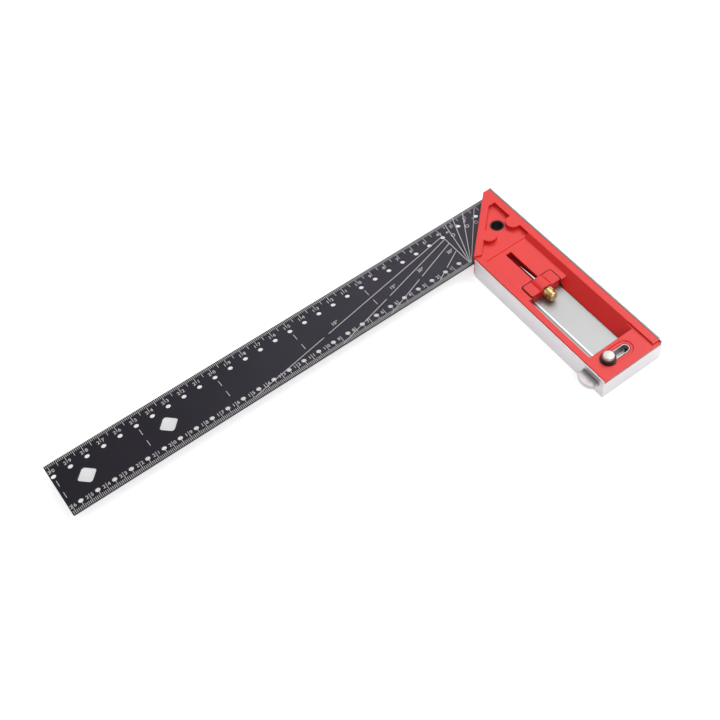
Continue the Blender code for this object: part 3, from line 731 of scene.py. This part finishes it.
class SQUARE_OT_handle(bpy.types.Operator):
    """Make the aluminium handle body and its two covers"""
    bl_idname = "square.handle"
    bl_label = "Handle"

    def execute(self, context):
        settings = context.scene.square_handle
        metal = handle_aluminium(settings)
        red = red_plastic("cover_red", settings.red)
        refined("handle_body", "handle_casting", metal, settings.metal_bevel)
        refined("top_cover", "upper_cover", red, settings.cover_bevel, 3)
        refined("bottom_cover", "lower_cover", red, settings.cover_bevel, 3)
        self.eyelet(plain_fine("eyelet_nylon", context.scene.square_fittings.black, 0.6, 2500.0, 0.01 * MM))
        return {"FINISHED"}

    def eyelet(self, nylon):
        """The black tube of the hanging hole, which fills its hole up to the red plastic."""
        centre = (EYELET_LOW + EYELET_HIGH) / 2
        outer = (EYELET_HIGH.x - EYELET_LOW.x) / 2 + EYELET_GROWTH
        inner = outer - EYELET_TUBE
        low, high = EYELET_LOW.z, EYELET_HIGH.z - EYELET_DROP
        profile = [(inner, low), (outer, low), (outer, high), (inner + EYELET_CHAMFER, high),
                   (inner, high - EYELET_CHAMFER), (inner, low)]
        tube = link("eyelet_tube", turned("eyelet_tube", profile, Vector((centre.x, centre.y, 0)), Matrix()),
                    nylon)
        smooth(tube)
        stand_for(tube, "hang_eyelet")


# Scriber

# Colour of the dark strip that paints the shade in the gap round the clip.
GAP_SHADE_RED = (0.030, 0.002, 0.002)
CLIP_GAP_WIDTH = 0.75 * MM
CLIP_GAP_TOP = HANDLE_HIGH.z - 2.96 * MM
CLIP_GAP_DEPTH = 0.3 * MM
CLIP_GAP_UNDER = 0.2 * MM  # how far the dark strip goes under the clip
CLIP_CORNER = 1.3 * MM
CLIP_SHORT = 0.3 * MM  # where the strip stops before the clip's window end
CORNER_STEP = 15
SLOT_HALF = 2.0 * MM
KNURL_SINK = 0.12 * MM
KNURL_DEPTH = 0.32 * MM
KNOB_BORE = 1.4 * MM
POINT_LENGTH = 14 * MM
POINT_STEPS = 8
LAY_ALONG_Y = Matrix.Rotation(-math.pi / 2, 4, "X")
# Shares of the barrel's radius and of the knob's length
KNOB_PROFILE = ((0.86, 0.0), (1.0, 0.09), (1.0, 0.66), (0.80, 0.70), (0.80, 0.76), (0.92, 0.80),
                (0.92, 0.93), (0.78, 1.0), (0.0, 1.0))


def clip_end_path(side, grow):
    """Plan points round one end of the clip, this far outside it."""
    x = CLIP_HIGH.x if side > 0 else CLIP_LOW.x
    corner = Vector((x - side * CLIP_CORNER, CLIP_LOW.y + CLIP_CORNER))
    radius = CLIP_CORNER + grow
    points = [(x + side * grow, CLIP_HIGH.y - CLIP_SHORT)]
    for degrees in range(0, 91, CORNER_STEP):
        angle = math.radians(degrees)
        points.append((corner.x + side * radius * math.cos(angle), corner.y - radius * math.sin(angle)))
    points.append((KNOB_MIDDLE.x + side * SLOT_HALF, CLIP_LOW.y - grow))
    return points


class SQUARE_OT_scriber(bpy.types.Operator):
    """Make the scriber, its knurled knob, its sleeve and the clip that holds it"""
    bl_idname = "square.scriber"
    bl_label = "Scriber"

    def execute(self, context):
        settings = context.scene.square_fittings
        clip_red = red_plastic("clip_red", context.scene.square_handle.clip_red)
        brass = turned_metal("turned_brass", settings.brass, 0.26, 9000.0, "Y")
        steel = turned_metal("ground_steel", settings.steel, 0.18, 16000.0, "Y")
        rubber = plain_fine("sleeve_rubber", settings.rubber, 0.8, 3000.0, 0.01 * MM)
        refined("scriber_clip", "clip_block", clip_red, 0.25 * MM, 3)
        refined("scriber_sleeve", "grip_sleeve", rubber, 0.08 * MM)
        self.clip_gap(plain_fine("gap_shade", GAP_SHADE_RED, 0.9, 2500.0, 0.01 * MM))
        self.knob(settings, brass)
        self.needle(steel)
        return {"FINISHED"}

    def clip_gap(self, dark):
        """A dark strip in the gap round each end of the clip, from the window to the needle's slot, which
        paints the shade there.
        """
        meshes = []
        for side in (-1, 1):
            inner = clip_end_path(side, -CLIP_GAP_UNDER)
            outer = clip_end_path(side, CLIP_GAP_WIDTH)
            meshes.append(slab(inner + outer[::-1], CLIP_GAP_TOP - CLIP_GAP_DEPTH, CLIP_GAP_TOP))
        gap = joined("clip_gap", meshes, dark)
        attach(gap, "root")

    def knob(self, settings, brass):
        """The knob: a bore for the needle, a knurled barrel, a neck and a button."""
        length = KNOB_HIGH.y - KNOB_LOW.y
        body = (KNOB_HIGH.x - KNOB_LOW.x) / 2 * 0.94
        profile = [(0.0, length * 0.7), (KNOB_BORE, length * 0.7), (KNOB_BORE, 0.0)]
        profile += [(body * across, length * along) for across, along in KNOB_PROFILE]
        base = Vector((KNOB_MIDDLE.x, KNOB_LOW.y, KNOB_MIDDLE.z))
        knob = link("scriber_grip", turned("scriber_grip", profile, base, LAY_ALONG_Y), brass)
        smooth(knob, 30)
        stand_for(knob, "scriber_knob")
        ribs = ribs_round("grip_knurl", brass, settings.knurl_ribs, body - KNURL_SINK, length * 0.52,
                          KNURL_DEPTH, base + Vector((0, length * 0.115, 0)))
        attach(ribs, "scriber")

    def needle(self, steel):
        """The needle, with a long point that swells a little between its ends."""
        centre = (NEEDLE_LOW + NEEDLE_HIGH) / 2
        radius = (NEEDLE_HIGH.x - NEEDLE_LOW.x) / 2
        length = NEEDLE_HIGH.y - NEEDLE_LOW.y
        profile = [(0.0, 0.0), (0.05 * MM, 0.08 * MM)]
        for step in range(1, POINT_STEPS + 1):
            share = step / POINT_STEPS
            profile.append((radius * (0.06 + 0.94 * share ** 0.92), POINT_LENGTH * share))
        profile += [(radius, length - 0.1 * MM), (radius - 0.1 * MM, length), (0.0, length)]
        base = Vector((centre.x, NEEDLE_LOW.y, centre.z))
        needle = link("scriber_point", turned("scriber_point", profile, base, LAY_ALONG_Y, 40), steel)
        smooth(needle, 40)
        stand_for(needle, "scriber_needle")


# Support ledge

CLEARANCE = 0.3 * MM
STEM_RADIUS = 1.9 * MM
THREAD_RADIUS = 1.2 * MM
LOWER_ROUND = 0.35 * MM
UPPER_ROUND = 0.8 * MM
DOME_DROP = 1.0 * MM  # from the middle of the head's top to the start of its rounding


class SQUARE_OT_ledge(bpy.types.Operator):
    """Make the support ledge with its thumbscrew and washer"""
    bl_idname = "square.ledge"
    bl_label = "Support ledge"

    def execute(self, context):
        settings = context.scene.square_fittings
        zinc = brushed_metal("ledge_zinc", settings.zinc, (1.0, 40.0, 40.0), 0.42)[0].material
        chrome = turned_metal("polished_chrome", settings.chrome, 0.36, 14000.0, "Z")
        nylon = plain_fine("washer_nylon", settings.black, 0.5, 2500.0, 0.01 * MM)
        refined("ledge_bar", "support_ledge", zinc, 0.2 * MM)
        refined("slot_liner", "slot_lining", zinc, 0.1 * MM)
        self.thumbscrew(chrome)
        refined("ledge_washer", "thumb_washer", nylon, 0.12 * MM, 3)
        return {"FINISHED"}

    def thumbscrew(self, chrome):
        """The screw's thread, stem and round head, whose edges are rounded and whose top is domed."""
        centre = (THUMB_LOW + THUMB_HIGH) / 2
        radius = (THUMB_HIGH.x - THUMB_LOW.x) / 2
        low = WASHER_HIGH.z + CLEARANCE
        top = THUMB_HIGH.z
        shoulder = LEDGE_HIGH.z + CLEARANCE
        profile = [(0.0, THUMB_LOW.z), (THREAD_RADIUS, THUMB_LOW.z), (THREAD_RADIUS, shoulder),
                   (STEM_RADIUS, shoulder), (STEM_RADIUS, low), (radius * 0.90, low)]
        for step in range(5):
            angle = math.radians(-90 + 22.5 * step)
            profile.append((radius - LOWER_ROUND * (1 - math.cos(angle)),
                            low + LOWER_ROUND * (1 + math.sin(angle))))
        for step in range(9):
            angle = math.radians(90 * step / 8)
            profile.append((radius - UPPER_ROUND * (1 - math.cos(angle)),
                            top - DOME_DROP + UPPER_ROUND * math.sin(angle)))
        profile += [(radius * 0.5, top - 0.07 * MM), (0.0, top)]
        base = Vector((centre.x, centre.y, 0))
        screw = link("thumb_head", turned("thumb_head", profile, base, Matrix()), chrome)
        smooth(screw, 40)
        stand_for(screw, "ledge_knob")


# Fasteners

class SQUARE_OT_fasteners(bpy.types.Operator):
    """Give the cover screws and the blade rivets their rounded heads"""
    bl_idname = "square.fasteners"
    bl_label = "Fasteners"

    def execute(self, context):
        zinc = turned_metal("plated_zinc", context.scene.square_fittings.zinc, 0.30, 9000.0, "Z")
        for node in sorted(frame["nodes"]):
            if node.startswith("cover_screw"):
                refined(node, node.replace("cover", "casing"), zinc, 0.15 * MM)
            if node.startswith("blade_rivet"):
                refined(node, node.replace("blade", "rule"), zinc, 0.15 * MM)
        return {"FINISHED"}


# Stage

FLOOR_HALF = 40.0
FLOOR_DEPTH = 0.012
FLOOR_GAP = 0.0002
SOFTBOXES = (  # name, its power setting, place and width
    ("side_light", "side_power", (-0.95, 0.05), 0.8),
    ("back_light", "back_power", (-0.66, -0.49), 1.0),
    ("front_light", "front_power", (0.35, 1.15), 1.0),
)
LIT_POINT = Vector((-0.08, 0.03, 0.01))
CAMERA_LENS = 57.4
CAMERA_SHIFT = (-0.0779, -0.0345)
CAMERA_PLACE = (0.1502, 0.3079, 0.5281)
CAMERA_TURN = (36.334, 3.606, 143.127)


class SQUARE_OT_stage(bpy.types.Operator):
    """Set the floor, the soft lights and the camera"""
    bl_idname = "square.stage"
    bl_label = "Stage"

    def execute(self, context):
        settings = context.scene.square_stage
        self.floor(settings)
        self.lights(settings)
        self.camera(context)
        context.scene.view_settings.view_transform = "Standard"
        return {"FINISHED"}

    def floor(self, settings):
        finish = Finish("studio_floor", 0.9, 0.0)
        finish.set("Base Color", (*settings.floor, 1.0))
        finish.set("Emission Color", (1.0, 1.0, 1.0, 1.0))
        finish.set("Emission Strength", settings.floor_glow)
        points = [(x * FLOOR_HALF, y * FLOOR_HALF) for x, y in ((-1, -1), (1, -1), (1, 1), (-1, 1))]
        floor = link("studio_floor", slab(points, -FLOOR_DEPTH, -FLOOR_GAP), finish.material)

    def lights(self, settings):
        world = bpy.data.worlds.new("studio_white")
        world.use_nodes = True
        background = world.node_tree.nodes["Background"]
        background.inputs["Color"].default_value = (1.0, 1.0, 1.0, 1.0)
        background.inputs["Strength"].default_value = settings.surround
        bpy.context.scene.world = world
        for name, power, (x, y), width in SOFTBOXES:
            self.softbox(name, (x, y, settings.light_height), width, getattr(settings, power))

    def softbox(self, name, place, width, power):
        """A square soft light that points at the handle."""
        light = bpy.data.lights.new(name, "AREA")
        light.size = width
        light.energy = power
        lamp = bpy.data.objects.new(name, light)
        bpy.context.scene.collection.objects.link(lamp)
        lamp.location = place
        lamp.rotation_euler = (LIT_POINT - Vector(place)).to_track_quat("-Z", "Y").to_euler()

    def camera(self, context):
        data = bpy.data.cameras.new("studio_camera")
        data.sensor_width = 36.0
        data.lens = CAMERA_LENS
        data.shift_x, data.shift_y = CAMERA_SHIFT
        data.clip_start = 0.01
        camera = bpy.data.objects.new("studio_camera", data)
        context.scene.collection.objects.link(camera)
        camera.location = CAMERA_PLACE
        camera.rotation_euler = [math.radians(degrees) for degrees in CAMERA_TURN]
        context.scene.camera = camera


# Panel and registration

STEPS = ("blade", "marks", "handle", "scriber", "ledge", "fasteners", "stage")
GROUPS = {
    "square_blade": SquareBladeSettings,
    "square_handle": SquareHandleSettings,
    "square_fittings": SquareFittingSettings,
    "square_stage": SquareStageSettings,
}


class SQUARE_PT_panel(bpy.types.Panel):
    """The square's pieces and their settings"""
    bl_idname = "SQUARE_PT_panel"
    bl_label = "Try and Mitre Square"
    bl_space_type = "VIEW_3D"
    bl_region_type = "UI"
    bl_category = "Square"

    def draw(self, context):
        for name in GROUPS:
            box = self.layout.box()
            settings = getattr(context.scene, name)
            for prop in settings.__annotations__:
                box.prop(settings, prop)
        for step in STEPS:
            self.layout.operator(f"square.{step}")


CLASSES = (*GROUPS.values(), SQUARE_OT_blade, SQUARE_OT_marks, SQUARE_OT_handle, SQUARE_OT_scriber,
           SQUARE_OT_ledge, SQUARE_OT_fasteners, SQUARE_OT_stage, SQUARE_PT_panel)


def register():
    for cls in CLASSES:
        bpy.utils.register_class(cls)
    for name, group in GROUPS.items():
        setattr(bpy.types.Scene, name, PointerProperty(type=group))


def unregister():
    for name in GROUPS:
        delattr(bpy.types.Scene, name)
    for cls in reversed(CLASSES):
        bpy.utils.unregister_class(cls)


def main():
    register()
    for step in STEPS:
        getattr(bpy.ops.square, step)()


if __name__ == "__main__":
    main()
